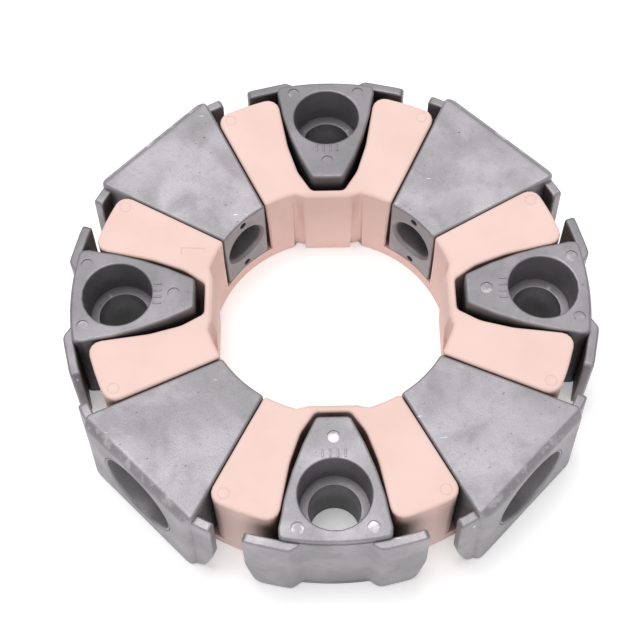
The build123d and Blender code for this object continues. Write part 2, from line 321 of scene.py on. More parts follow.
def curved_plate(radius, inner, half_angle, top, taper, start=None, recess=None):
    """Plate bent round the axis, with drawn-in lower ends and all its edges rounded.

    Its end runs straight down, then in by `taper` below 40% of its height, and turns into the
    lower edge on an arc. A point's depth from the nearest edge lowers both skins by the
    quarter-round of that depth, and the recess lowers the outer skin in the middle.
    """
    edge = PLATE_EDGE
    end = radius * math.radians(half_angle)
    z = np.array([0.0, 0.05, 0.2, 0.45, 0.9, 1.6, 2.5, 3.4, 4.2])
    near_top = top - np.array([2.0, 1.2, 0.9, 0.45, 0.2, 0.05, 0.0])
    z = np.concatenate([z, np.linspace(6.0, top - 4.0, 9), near_top])
    tail = end - taper * np.clip((0.4 * top - z) / (0.4 * top), 0.0, 1.0)
    tail = tail - quarter_round(PLATE_FOOT, z) - quarter_round(PLATE_HEAD, top - z)
    rim = np.array([3.5, 2.2, 1.4, 0.9, 0.45, 0.2, 0.05, 0.0])
    if start is None:
        ramp = recess + np.linspace(-1.6, 5.6, 13)
        fixed = np.concatenate([[0.0, 4.0, 8.0], ramp, [recess + 7.0]])
        half = [np.broadcast_to(fixed, (len(z), len(fixed))), tail[:, None] - rim]
        half = np.concatenate(half, 1)
        s = np.concatenate([-half[:, :0:-1], half], 1)
        reach = tail[:, None] - np.abs(s)
    else:
        fixed = np.linspace(start, WING_PLAIN_END, 4)
        s = np.concatenate([np.broadcast_to(fixed, (len(z), 4)), tail[:, None] - rim], 1)
        reach = tail[:, None] - s
    depth = np.minimum(np.minimum(z, top - z)[:, None], reach)
    drop = quarter_round(edge, depth)
    outer = np.full_like(s, radius)
    if recess is not None:
        shallow = smooth(recess - 1.2, recess + 5.2, np.abs(s))
        outer = outer - (radius - inner - 0.2) * (1.0 - shallow)
    angle = s / radius
    outer = np.maximum(outer - drop, inner + 0.1)
    low = inner + drop
    height = np.broadcast_to(z[:, None], s.shape)
    skin = np.stack([outer * np.cos(angle), outer * np.sin(angle), height], -1)
    lining = np.stack([low * np.cos(angle), low * np.sin(angle), height], -1)
    rims = [
        np.stack([skin[0], lining[0]]),
        np.stack([skin[-1], lining[-1]]),
        np.stack([skin[:, 0], lining[:, 0]]),
        np.stack([skin[:, -1], lining[:, -1]]),
    ]
    return [skin, lining] + rims


def mirror(patches):
    """The patches mirrored in the XZ plane."""
    return [patch * np.array([1.0, -1.0, 1.0]) for patch in patches]


def bar(u, v, half_u, half_v, low, high):
    """Small raised bar: a rounded oblong swept up, its top drawn in to its middle."""
    corners = [(u - half_u, v - half_v), (u + half_u, v - half_v)]
    corners += [(u + half_u, v + half_v), (u - half_u, v + half_v)]
    points, normals = rounded_loop(corners, 0.9 * min(half_u, half_v), 4, 1)
    points = points.reshape(-1, 2)
    insets, heights = edge_profile(low, high, 0.0, 0.15, 3, 0)
    side = wall(points, normals.reshape(-1, 2), insets, heights)
    cap = between(side[-1], side[-1] * 0 + side[-1, :-1].mean(0), 2)
    return [side, cap]


def radial_block(size):
    """Wedge block built of rounded sections along X, capped at both ends to its stepped hole.

    The outer upright corners are arcs tangent to the flanks. Near the bore each section
    bends onto the bore's cylinder. The top is the lower of the sloping plane and the worn
    bevel's plane, blended where they meet. Each section is a rounded square whose straight
    runs are stretched to the block's half-width and height there, and whose corners are not.
    """
    slope = math.tan(math.radians(FLANK_ANGLE))
    corner = BLOCK_CORNER
    centre_u = size.face - corner
    centre_v = flank_half_width(size, centre_u) - corner / math.cos(math.radians(FLANK_ANGLE))
    bend = np.linspace(math.radians(-FLANK_ANGLE), math.pi / 2.0, 12)
    inner = size.bore + np.array([0.0, 0.07, 0.25, 0.5, 0.9, 2.0])
    plain = np.linspace(size.bore + 5.0, 93.5, 12)
    step = np.array([95.3, 95.59, 95.61, 95.9, 97.2])
    start = centre_u + corner * math.sin(bend[0])
    last = centre_u + corner * np.sin(bend)
    u = np.concatenate([inner, plain, step[step < start - 0.05], [start], last[1:]])
    half = flank_half_width(size, u)
    near_bore = 1 - smooth(50.0, 64.0, u)
    shift = (np.sqrt(size.bore**2 - half**2 * (u < 70.0)) - size.bore) * near_bore
    half = flank_half_width(size, u + shift)
    arc = centre_v + np.sqrt(np.maximum(corner**2 - (u - centre_u) ** 2, 0.0))
    half = np.where(u > start, arc, half)
    window = size.face - BEVEL_WIDTH
    plane = size.height - BLOCK_TOP_FALL * (window - u) / (window - size.bore)
    bevel = size.height - (u - window) * BEVEL_DROP / BEVEL_WIDTH
    top = 0.5 * (plane + bevel) - np.sqrt(0.25 * (plane - bevel) ** 2 + 0.05)
    low = np.where(u < LIP_DISTANCE, WEB_TOP, 0.0)
    inset = np.maximum(quarter_round(0.9, u - size.bore), quarter_round(0.7, size.face - u))
    unit = [(-1.0, -1.0), (1.0, -1.0), (1.0, 1.0), (-1.0, 1.0)]
    rounding = 1.3
    square = 10.0
    base, _ = rounded_loop([(square * a, square * b) for a, b in unit], rounding, 5, 9)
    base = base.reshape(-1, 2)
    sign = np.sign(base)
    from_corner = square - np.abs(base)
    run = np.maximum(from_corner - rounding, 0) / (square - rounding)
    local = np.minimum(from_corner, rounding)
    h = (half - inset)[:, None]
    mid = 0.5 * (top + low)[:, None]
    tall = (0.5 * (top - low) - inset)[:, None]
    v = sign[:, 0] * (h - local[:, 0] - run[:, 0] * (h - rounding))
    z = mid + sign[:, 1] * (tall - local[:, 1] - run[:, 1] * (tall - rounding))
    x = np.broadcast_to(u[:, None], v.shape)
    sag = np.sqrt(size.bore**2 - np.clip(v, -30, 30) ** 2) - size.bore
    x = x + sag * (1 - smooth(50.0, 64.0, x))
    side = np.stack([x, v, z], -1)
    side = np.concatenate([side, side[:, :1]], 1)
    level = SIDE_HOLE_HEIGHT
    angles = np.unwrap(np.arctan2(side[-1, :-1, 2] - level, side[-1, :-1, 1]))
    depth = size.face - SIDE_HEAD_DEPTH
    # Radius and place along the hole: a rim round the recess, the recess, then the screw hole.
    rim = [(18.3, 0.0), (18.15, -0.15), (18.0, -0.5), (17.85, -0.5), (17.7, -0.15), (17.5, 0.0)]
    rim += [(17.1, -0.2), (16.8, -0.9)]
    recess = [(16.8, 0.6), (16.6, 0.2), (16.2, 0.0), (9.5, 0.0), (9.15, -0.15), (9.0, -0.5)]
    mouth = [(9.0, 2.0), (9.4, 1.0), (10.2, 0.0)]
    foot = [size.face] * len(rim) + [depth] * len(recess) + [size.bore] * len(mouth)
    profile = np.array(rim + recess + mouth)
    along = (np.array(foot) + profile[:, 1])[:, None] + 0 * angles
    r = profile[:, :1]
    hole = np.stack([along, r * np.cos(angles), level + r * np.sin(angles)], -1)
    hole[-3:, :, 0] += np.sqrt(size.bore**2 - hole[-3:, :, 1] ** 2) - size.bore
    hole = np.concatenate([hole, hole[:, :1]], 1)
    outer_face = between(side[-1], hole[0], 8)
    inner_face = between(hole[-1], side[0], 12)
    inner_face[1:-1, :, 0] = np.sqrt(size.bore**2 - inner_face[1:-1, :, 1] ** 2)
    made = []
    for patch in (side, outer_face, hole, inner_face):
        u, v, z = patch[..., 0], patch[..., 1], patch[..., 2]
        move = size.face_draft * (1.0 - z / size.height) * smooth(95.0, size.face, u)
        spread = np.sign(v) * move * slope * smooth(18.0, 24.0, np.abs(v))
        made.append(patch + np.stack([move, spread, 0 * move], -1))
    return made


def pad_pair(size):
    """Two pads and the bridge between them, round one axial pocket, as a strip bent into a U.

    The plan is a rounded loop: rims and bore stretches are arcs between tangents to their
    circles, and the pocket's flank passes its stations. The loop is swept up as a wall whose
    inset grows with the bridge's slope, the lean of the flanks near it and the groove between
    them. Both ends are filled across, and the top lies on the ring's cone.
    """
    u = at_share(size, STATIONS[:, 0])
    w = STATIONS[:, 1]
    turn = math.radians(45.0)

    def tangent_cross(angle, point, direction, radius):
        """Where a circle's tangent at an angle meets the line through a point."""
        n = np.array([math.cos(angle), math.sin(angle)])
        distance = (radius - n @ point) / (n @ direction)
        return point + distance * direction

    gap = BLOCK_GAP / math.cos(math.radians(FLANK_ANGLE))
    ends = np.array([[end, -flank_half_width(size, end) - gap] for end in (40.0, 110.0)])
    rotate = np.array([[math.cos(turn), -math.sin(turn)], [math.sin(turn), math.cos(turn)]])
    ends = ends @ rotate.T
    line = (ends[1] - ends[0]) / np.linalg.norm(ends[1] - ends[0])
    flank_a = np.array([u[3], w[3]])
    flank_d = np.array([u[4] - u[3], w[4] - w[3]])
    a1, a2 = math.radians(18.5), math.radians(26.0)
    c1 = tangent_cross(a1, flank_a, flank_d / np.linalg.norm(flank_d), size.rim)
    c2 = tangent_cross(a2, ends[0], line, size.rim)
    mid = 0.5 * (a1 + a2)
    rim = size.rim / math.cos(0.5 * (a2 - a1)) * np.array([math.cos(mid), math.sin(mid)])
    b0 = math.asin(BRIDGE_FOOT_HALF_WIDTH / size.bore) + math.radians(GROOVE_ANGLE)
    reach = -ends[0] @ line + math.sqrt((ends[0] @ line) ** 2 - ends[0] @ ends[0] + size.bore**2)
    c3 = ends[0] + reach * line
    b1 = math.atan2(c3[1], c3[0]) - math.radians(2.6)
    c3 = tangent_cross(b1, ends[0], line, size.bore)
    mid = 0.5 * (b0 + b1)
    bore = size.bore / math.cos(0.5 * (b1 - b0)) * np.array([math.cos(mid), math.sin(mid)])
    c5 = np.array([size.bore - BRIDGE_PROUD, BRIDGE_HALF_WIDTH])
    foot_u = math.sqrt(size.bore**2 - BRIDGE_FOOT_HALF_WIDTH**2)
    foot = np.array([foot_u, BRIDGE_FOOT_HALF_WIDTH])
    c4 = tangent_cross(b0, c5, (foot - c5) / np.linalg.norm(foot - c5), size.bore)
    walls = [c2 + (c3 - c2) * f for f in (0.35, 0.7)]
    face_mid = np.array([c5[0], 0.45 * c5[1]])
    upper = [c1, rim, c2, *walls, c3, bore, c4, c5, face_mid]
    radii = [5.0, size.rim, 5.0, 0.0, 0.0, 1.5, size.bore, 1.0, 2.0, 0.0]
    tip = [np.array([u[k], w[k]]) for k in (3, 2, 1)]
    tip += [np.array([0.5 * (u[0] + u[1]), 0.5 * (w[0] + w[1])]), np.array([u[0], w[0]])]
    pocket = tip + [np.array([u[0], f]) for f in (4.0, 1.5)]
    pocket_r = [40.0, 25.0, 12.0, 0.0, 2.5, 0.0, 0.0]
    flip = np.array([1.0, -1.0])
    corners = upper + [c * flip for c in upper[::-1]] + [c * flip for c in pocket] + pocket[::-1]
    rounds = radii + radii[::-1] + pocket_r + pocket_r[::-1]
    arc, run = 4, 3
    points, normals = rounded_loop(corners, rounds, arc, run)
    m = arc + 1 + run
    count = len(corners)
    rising = np.linspace(0.0, 1.0, run + 2)[1:-1]
    lean, slope, groove = np.zeros((3, count, m))
    lean[4, arc + 1 :] = rising
    lean[5, : arc + 1] = np.linspace(1.0, 0.2, arc + 1)
    groove[6, arc + 1 :] = rising
    groove[7] = 1.0
    slope[7, arc + 1 :] = rising
    slope[8:10] = 1.0
    for kind in (lean, groove, slope):
        half = kind[:10].reshape(-1)
        kind[10:20] = np.roll(half[::-1], -run).reshape(10, m)
        kind[19, arc + 1 :] = 0.0
    points = np.roll(points.reshape(-1, 2), -(arc // 2), 0)
    normals = np.roll(normals.reshape(-1, 2), -(arc // 2), 0)
    lean, slope, groove = (np.roll(kind.reshape(-1), -(arc // 2)) for kind in (lean, slope, groove))
    radius = np.linalg.norm(points, axis=1)
    top = ring_top(size, radius)
    crease = 1.0 - (size.bridge_slope_height + np.array([0.5, 0.0, -0.5])) / size.height
    levels = np.concatenate([np.linspace(0.06, crease[0] - 0.08, 6), crease, [0.87, 0.95]])
    insets, heights = edge_profile(0.0, top, 0.3, 1.3, 4, levels)
    fall = 1.0 - np.clip(heights / top, 0.0, 1.0)
    share = size.bridge_slope_height / size.height
    rise = np.clip(1.0 - fall / share, 0.0, 1.0)
    insets = insets + slope * (2.0 * rise - 0.85 + 2.0 * fall)
    insets = insets + 2.4 * lean * fall + 1.9 * groove * fall
    side = wall(points, normals, insets, heights)
    side[-1, :, 2] = ring_top(size, np.linalg.norm(side[-1, :, :2], axis=-1))
    cap, under = (fill(row[:-1], 2 * m, 15 * m) for row in (side[-1], side[0]))
    cap[1:-1, 1:-1, 2] = ring_top(size, np.linalg.norm(cap[1:-1, 1:-1, :2], axis=-1))
    return flared([side, cap, under], size, size.rim_draft, 86.0, 94.5)


def web(size):
    """Floor between two pads, under a radial insert: a polar slab that runs into both pads.

    A point is at radius r and at a share f of the half-width there, so u is sqrt(r^2 - v^2).
    """
    r = np.linspace(size.bore + 0.03, size.rim - 0.03, 16)[:, None]
    f = np.linspace(-1.0, 1.0, 21)[None]
    v = f * (flank_half_width(size, r) + 7.0)
    u = np.sqrt(r**2 - v**2)
    top = np.stack([u, v, np.full_like(u, WEB_TOP)], -1)
    under = np.stack([u, v, np.full_like(u, 0.03)], -1)
    sides = [np.stack([top[0], under[0]]), np.stack([top[-1], under[-1]])]
    sides += [np.stack([top[:, 0], under[:, 0]]), np.stack([top[:, -1], under[:, -1]])]
    return flared([top, under] + sides, size, size.rim_draft, 86.0, 94.5)


def flared(patches, size, draft, start, full):
    """Moulding draft: a point beyond radius `full` moves outwards by draft times its share of the
    way down, and points between `start` and `full` move by a smooth part of that."""
    made = []
    for patch in patches:
        r = np.linalg.norm(patch[..., :2], axis=-1, keepdims=True)
        move = draft * (1.0 - patch[..., 2:] / size.height) * smooth(start, full, r)
        plan = patch[..., :2] * (1.0 + move / r)
        made.append(np.concatenate([plan, patch[..., 2:]], -1))
    return made


def turned(patches, angle):
    """The patches turned about Z."""
    c, s = math.cos(math.radians(angle)), math.sin(math.radians(angle))
    turn = np.array([[c, -s, 0.0], [s, c, 0.0], [0.0, 0.0, 1.0]])
    return [patch @ turn.T for patch in patches]


# ---------------------------------------------------------------- meshes


def make_mesh(name, patches):
    """One mesh of grids of points in millimetres, in metres, welded where the grids meet."""
    counts = [patch.shape[0] * patch.shape[1] for patch in patches]
    starts = np.concatenate([[0], np.cumsum(counts)[:-1]])
    faces = []
    for patch, begin in zip(patches, starts):
        index = begin + np.arange(patch.shape[0] * patch.shape[1]).reshape(patch.shape[:2])
        quad = [index[:-1, :-1], index[:-1, 1:], index[1:, 1:], index[1:, :-1]]
        faces.append(np.stack(quad, -1).reshape(-1, 4))
    points = np.concatenate([patch.reshape(-1, 3) for patch in patches]) * MM
    mesh = bpy.data.meshes.new(name)
    mesh.from_pydata(points.tolist(), [], np.concatenate(faces).tolist())
    work = bmesh.new()
    work.from_mesh(mesh)
    bmesh.ops.remove_doubles(work, verts=work.verts, dist=3e-6)
    bmesh.ops.dissolve_degenerate(work, edges=work.edges, dist=1e-7)
    bmesh.ops.recalc_face_normals(work, faces=work.faces)
    work.to_mesh(mesh)
    work.free()
    return mesh


def cylinder(centre, axis, radius, length, sides=28):
    """Closed cylinder from centre along X or Z, to cut holes with: a ring of points swept along.

    Its first and last rows have no radius, so they close the ends.
    """
    angles = np.linspace(0.0, 2.0 * math.pi, sides + 1)
    ring = np.stack([radius * np.cos(angles), radius * np.sin(angles)], -1)
    place = [1, 2, 0] if axis == "X" else [0, 1, 2]
    rows = ((0.0, 0.0), (1.0, 0.0), (1.0, length), (0.0, length))
    grid = [np.concatenate([ring * r, np.full((sides + 1, 1), along)], 1) for r, along in rows]
    grid = np.stack(grid)
    moved = np.empty_like(grid)
    for source, target in enumerate(place):
        moved[..., target] = grid[..., source]
    return [moved + np.array(centre)]


def drilled(patches, cutters):
    """Mesh of the patches with the cutters' closed shapes taken out of it."""
    body = bpy.data.objects.new("body", make_mesh("body", patches))
    tool = bpy.data.objects.new("tool", make_mesh("tool", sum(cutters, [])))
    for one in (body, tool):
        bpy.context.scene.collection.objects.link(one)
    cut = body.modifiers.new("cut", "BOOLEAN")
    cut.operation = "DIFFERENCE"
    cut.solver = "EXACT"
    cut.object = tool
    graph = bpy.context.evaluated_depsgraph_get()
    mesh = bpy.data.meshes.new_from_object(body.evaluated_get(graph))
    for one in (body, tool):
        old = one.data
        bpy.data.objects.remove(one)
        bpy.data.meshes.remove(old)
    return mesh


def joined(meshes, angle):
    """One mesh of several, in metres, turned about Z by an angle in degrees."""
    work = bmesh.new()
    for mesh in meshes:
        work.from_mesh(mesh)
        bpy.data.meshes.remove(mesh)
    bmesh.ops.rotate(work, verts=work.verts, matrix=Matrix.Rotation(math.radians(angle), 3, "Z"))
    bmesh.ops.recalc_face_normals(work, faces=work.faces)
    mesh = bpy.data.meshes.new("joined")
    work.to_mesh(mesh)
    work.free()
    return mesh


def make_piece(name, mesh, angle=0.0):
    """A shown object of the mesh, smooth but for sharp corners, that keeps its unturned places."""
    mesh.name = name
    mesh.shade_smooth()
    mesh.set_sharp_from_angle(angle=math.radians(40.0))
    co = np.empty(len(mesh.vertices) * 3, np.float32)
    mesh.vertices.foreach_get("co", co)
    local = turned([co.reshape(-1, 3)], -angle)[0].astype(np.float32)
    attribute = mesh.attributes.new("local", "FLOAT_VECTOR", "POINT")
    attribute.data.foreach_set("vector", np.ascontiguousarray(local).reshape(-1))
    piece = bpy.data.objects.new(name, mesh)
    bpy.context.scene.collection.objects.link(piece)
    normals = piece.modifiers.new("weighted_normals", "WEIGHTED_NORMAL")
    normals.keep_sharp = True
    return piece


# ---------------------------------------------------------------- materials


class Nodes:
    """Short calls for building one material's node tree."""

    def __init__(self, name):
        self.material = bpy.data.materials.new(name)
        self.material.use_nodes = True
        self.tree = self.material.node_tree
        self.shader = self.tree.nodes["Principled BSDF"]

    def add(self, kind, *links, **fields):
        """A node with its fields set and its inputs linked or given, in order."""
        node = self.tree.nodes.new(kind)
        for key, value in fields.items():
            setattr(node, key, value)
        for slot, value in enumerate(links):
            self.put(node.inputs[slot], value)
        return node

    def put(self, socket, value):
        """Links an output to a socket, or sets the socket's value."""
        if value is None:
            return
        if isinstance(value, bpy.types.NodeSocket):
            self.tree.links.new(value, socket)
        else:
            socket.default_value = value

    def math(self, operation, a, b=None, c=None):
        """Result of one sum on two or three numbers."""
        return self.add("ShaderNodeMath", a, b, c, operation=operation).outputs[0]

    def ramp(self, value, low, high, out_low=0.0, out_high=1.0):
        """Maps low..high to out_low..out_high on a smooth step, clamped."""
        links = (value, low, high, out_low, out_high)
        return self.add("ShaderNodeMapRange", *links, interpolation_type="SMOOTHSTEP").outputs[0]

    def noise(self, vector, scale, detail, rough, distortion=0.0):
        """Noise with `scale` features in a metre, finer ones added by detail and rough."""
        node = self.add("ShaderNodeTexNoise")
        self.put(node.inputs["Vector"], vector)
        self.put(node.inputs["Scale"], scale)
        self.put(node.inputs["Detail"], detail)
        self.put(node.inputs["Roughness"], rough)
        self.put(node.inputs["Distortion"], distortion)
        return node.outputs[0]

    def mix(self, share, a, b):
        """Colour a turning to b."""
        node = self.add("ShaderNodeMix", data_type="RGBA")
        self.put(node.inputs[0], share)
        self.put(node.inputs[6], a)
        self.put(node.inputs[7], b)
        return node.outputs[2]

    def local(self):
        """Place on the piece before it was turned about Z, in metres."""
        return self.add("ShaderNodeAttribute", attribute_name="local").outputs["Vector"]

    def object(self):
        """Place in the object's own coordinates, in metres."""
        return self.add("ShaderNodeTexCoord").outputs["Object"]

    def split(self, vector):
        """The three parts of a vector."""
        node = self.add("ShaderNodeSeparateXYZ", vector)
        return node.outputs[0], node.outputs[1], node.outputs[2]

    def stretched(self, vector, scale, turn):
        """Coordinates scaled and turned, for a pattern that runs one way."""
        node = self.add("ShaderNodeMapping", vector)
        node.inputs["Scale"].default_value = scale
        node.inputs["Rotation"].default_value = turn
        return node.outputs[0]

    def bump(self, height, distance, strength):
        """Normal of a surface raised by height times distance."""
        node = self.add("ShaderNodeBump")
        self.put(node.inputs["Height"], height)
        self.put(node.inputs["Distance"], distance)
        self.put(node.inputs["Strength"], strength)
        return node.outputs[0]

    def disc(self, u, v, at_u, at_v, radius, soft):
        """1 inside a circle of the local plan, 0 outside, by the distance from its middle."""
        du = self.math("SUBTRACT", u, at_u)
        dv = self.math("SUBTRACT", v, at_v)
        square = self.math("MULTIPLY", dv, dv)
        square = self.math("MULTIPLY_ADD", du, du, square)
        return self.ramp(self.math("SQRT", square), radius - soft, radius + soft, 1.0, 0.0)

    def band(self, value, low, high, soft):
        """1 from low to high, falling to 0 just outside them."""
        rise = self.ramp(value, low - soft, low)
        return self.math("MULTIPLY", rise, self.ramp(value, high, high + soft, 1.0, 0.0))


def rgba(colour):
    """A colour with full opacity."""
    return (colour[0], colour[1], colour[2], 1.0)


def painted_crevice_shade(n, reach, dark):
    """Share of unshaded colour, from ambient occlusion: low where walls close to each other shut
    out light, so the shade there is painted into the colour.
    """
    node = n.add("ShaderNodeAmbientOcclusion", samples=8)
    node.inputs["Distance"].default_value = reach
    return n.ramp(node.outputs["AO"], 0.05, 0.5, dark, 1.0)


def casting(n, colours, tone, cloud_scale, rubbed):
    """Die-cast aluminium: soft lilac-grey clouding, sandy grain, small pits and short scuffs.

    Painted shade darkens holes and gaps, and faces that look up are painted lighter within it,
    as if lit from above. `tone` scales the colours, and `rubbed` is the share of bare,
    brighter metal. Returns the height for the bump.
    """
    place = n.object()
    cloud = n.noise(place, cloud_scale, 3.0, 0.5, 0.4)
    patch = n.noise(place, 210.0, 4.0, 0.6)
    grain = n.noise(place, 1900.0, 2.0, 0.6)
    tones = (colours.metal_dark, colours.metal_light, colours.metal_stain)
    dark, light, stain = (rgba(Vector(one) * tone) for one in tones)
    colour = n.mix(n.ramp(cloud, 0.36, 0.66), dark, light)
    colour = n.mix(n.ramp(patch, 0.50, 0.72, 0.0, 0.28), colour, stain)
    worn = n.ramp(n.math("MULTIPLY_ADD", n.ramp(patch, 0.3, 0.7), 0.6, rubbed), 0.62, 1.05)
    colour = n.mix(worn, colour, rgba(colours.metal_worn))
    nick = n.noise(n.stretched(place, (110.0, 800.0, 110.0), (0.0, 0.0, 1.0)), 1.0, 3.0, 0.6)
    colour = n.mix(n.ramp(nick, 0.71, 0.76, 0.0, 0.8), colour, rgba(colours.metal_nick))
    pit = n.ramp(n.noise(place, 700.0, 2.0, 0.5), 0.72, 0.77)
    colour = n.mix(n.math("MULTIPLY", pit, 0.6), colour, (0.06, 0.06, 0.065, 1.0))
    # Painted shade: the colour darkens to near black where ambient occlusion finds close walls, and
    # faces that look up are painted lighter there, as if lit from above.
    up = n.split(n.add("ShaderNodeTexCoord").outputs["Normal"])[2]
    unshaded_share = n.math("MAXIMUM", painted_crevice_shade(n, 0.022, 0.12), n.ramp(up, 0.7, 0.95, 0.0, 0.6))
    shaded = n.mix(unshaded_share, (0.03, 0.029, 0.031, 1.0), colour)
    n.put(n.shader.inputs["Base Color"], shaded)
    rough = n.ramp(cloud, 0.3, 0.7, 0.56, 0.47)
    rough = n.math("MULTIPLY_ADD", n.ramp(grain, 0.3, 0.7), 0.08, rough)
    n.put(n.shader.inputs["Roughness"], n.math("MULTIPLY_ADD", worn, -0.06, rough))
    n.shader.inputs["Metallic"].default_value = 0.75
    height = n.math("MULTIPLY_ADD", n.ramp(grain, 0.3, 0.7), 0.2, n.math("MULTIPLY", patch, 0.4))
    height = n.math("MULTIPLY_ADD", pit, -0.8, height)
    return height


def elastomer(colours):
    """Moulded elastomer: even salmon pink, faint clouding and soft grain, and painted shade in its
    gaps.
    """
    n = Nodes("elastomer")
    place = n.object()
    cloud = n.noise(place, 45.0, 3.0, 0.5)
    fine = n.noise(place, 900.0, 3.0, 0.6)
    colour = n.mix(n.ramp(cloud, 0.35, 0.7), rgba(colours.ring_light), rgba(colours.ring_dark))
    n.put(n.shader.inputs["Roughness"], n.ramp(fine, 0.3, 0.7, 0.50, 0.62))
    n.shader.inputs["Specular IOR Level"].default_value = 0.3
    u, v, _ = n.split(n.local())
    outer, inner = (n.disc(u, v, *PAD_MARK, radius, 0.0002) for radius in (0.0023, 0.0019))
    mark = n.math("SUBTRACT", outer, inner)
    x, y, z = n.split(place)
    for (low_x, low_y), (high_x, high_y) in TOOL_MARK:
        across = n.band(x, low_x, high_x, 1e-4)
        along = n.band(y, low_y, high_y, 1e-4)
        mark = n.math("MAXIMUM", mark, n.math("MULTIPLY", across, along))
    mark = n.math("MULTIPLY", mark, n.ramp(z, 0.040, 0.042))
    colour = n.mix(n.math("MULTIPLY", mark, 0.14), colour, rgba(colours.ring_shade))
    # Painted shade: the colour darkens to ring_shade where ambient occlusion finds close walls in
    # the gaps and pockets.
    shaded = n.mix(painted_crevice_shade(n, 0.009, 0.05), rgba(colours.ring_shade), colour)
    n.put(n.shader.inputs["Base Color"], shaded)
    height = n.math("MULTIPLY_ADD", cloud, 1.2, n.math("MULTIPLY", fine, 0.12))
    height = n.math("MULTIPLY_ADD", mark, -0.5, height)
    n.put(n.shader.inputs["Normal"], n.bump(height, 0.0003, 0.4))
    return n.material


def axial_metal(side, tone, bright, colours):
    """Casting of one axial insert, with the brighter marks that ejector pins leave on its top."""
    n = Nodes(f"axial_casting_{side}")
    u, v, z = n.split(n.local())
    disc = 0.0
    for at_u, at_v in EJECTORS:
        disc = n.math("MAXIMUM", n.disc(u, v, at_u * MM, at_v * MM, 0.00225, 0.00015), disc)
    disc = n.math("MULTIPLY", disc, n.ramp(z, 0.044, 0.0445))
    height = casting(n, colours, tone, 48.0, n.math("MULTIPLY", disc, bright))
    n.put(n.shader.inputs["Normal"], n.bump(height, 0.0002, 0.35))
    return n.material


def radial_metal(colours, size):
    """Casting of the radial inserts: broad lilac clouds, a rough bright bevel and nicks."""
    n = Nodes("radial_casting")
    u, _, z = n.split(n.local())
    from_bevel = n.math("ABSOLUTE", n.math("SUBTRACT", u, (size.face - 1.6) * MM))
    edge = n.ramp(from_bevel, 0.0006, 0.0021, 1.0, 0.0)
    high = n.ramp(z, (size.height - 4.0) * MM, (size.height - 2.4) * MM)
    chips = n.noise(n.object(), 240.0, 5.0, 0.62)
    band = n.math("MULTIPLY", edge, high)
    band = n.math("MULTIPLY", band, n.ramp(chips, 0.3, 0.62, 0.4, 0.9))
    height = casting(n, colours, 0.94, 55.0, n.math("MULTIPLY", band, 0.5))
    height = n.math("MULTIPLY_ADD", n.math("MULTIPLY", band, chips), 1.6, height)
    n.put(n.shader.inputs["Normal"], n.bump(height, 0.00022, 0.4))
    return n.material


# ---------------------------------------------------------------- settings


class CouplingSizes(PropertyGroup):
    """Sizes of the coupling element."""

    height: FloatProperty(
        name="Height",
        description="Height of the inserts",
        default=0.046, unit="LENGTH", subtype="DISTANCE",
    )
    rim_radius: FloatProperty(
        name="Rim radius",
        description="Outer radius of the ring",
        default=0.095, unit="LENGTH", subtype="DISTANCE",
    )
    bore_radius: FloatProperty(
        name="Bore radius",
        description="Radius of the ring's bore",
        default=0.049, unit="LENGTH", subtype="DISTANCE",
    )
    pitch_radius: FloatProperty(
        name="Pitch radius",
        description="Radius of the circle of axial screws",
        default=0.0825, unit="LENGTH", subtype="DISTANCE",
    )
    plate_radius: FloatProperty(
        name="Plate radius",
        description="Outer radius of the axial inserts' plates",
        default=0.104, unit="LENGTH", subtype="DISTANCE",
    )
    side_plate_radius: FloatProperty(
        name="Side plate radius",
        description="Outer radius of the radial inserts' plates",
        default=0.105, unit="LENGTH", subtype="DISTANCE",
    )
    face_distance: FloatProperty(
        name="Face distance",
        description="Distance of a radial insert's flat face from the axis",
        default=0.1033, unit="LENGTH", subtype="DISTANCE",
    )
    rim_draft: FloatProperty(
        name="Rim draft",
        description="How far the pads' rim widens to the foot",
        default=0.001, unit="LENGTH", subtype="DISTANCE",
    )
    plate_draft: FloatProperty(
        name="Plate draft",
        description="How far the axial plates widen to the foot",
        default=0.0018, unit="LENGTH", subtype="DISTANCE",
    )
    face_draft: FloatProperty(
        name="Face draft",
        description="How far the radial faces widen to the foot",
        default=0.0028, unit="LENGTH", subtype="DISTANCE",
    )
    bridge_slope_height: FloatProperty(
        name="Bridge slope height",
        description="Height of the slope at the top of each bridge's face",
        default=0.010, unit="LENGTH", subtype="DISTANCE",
    )


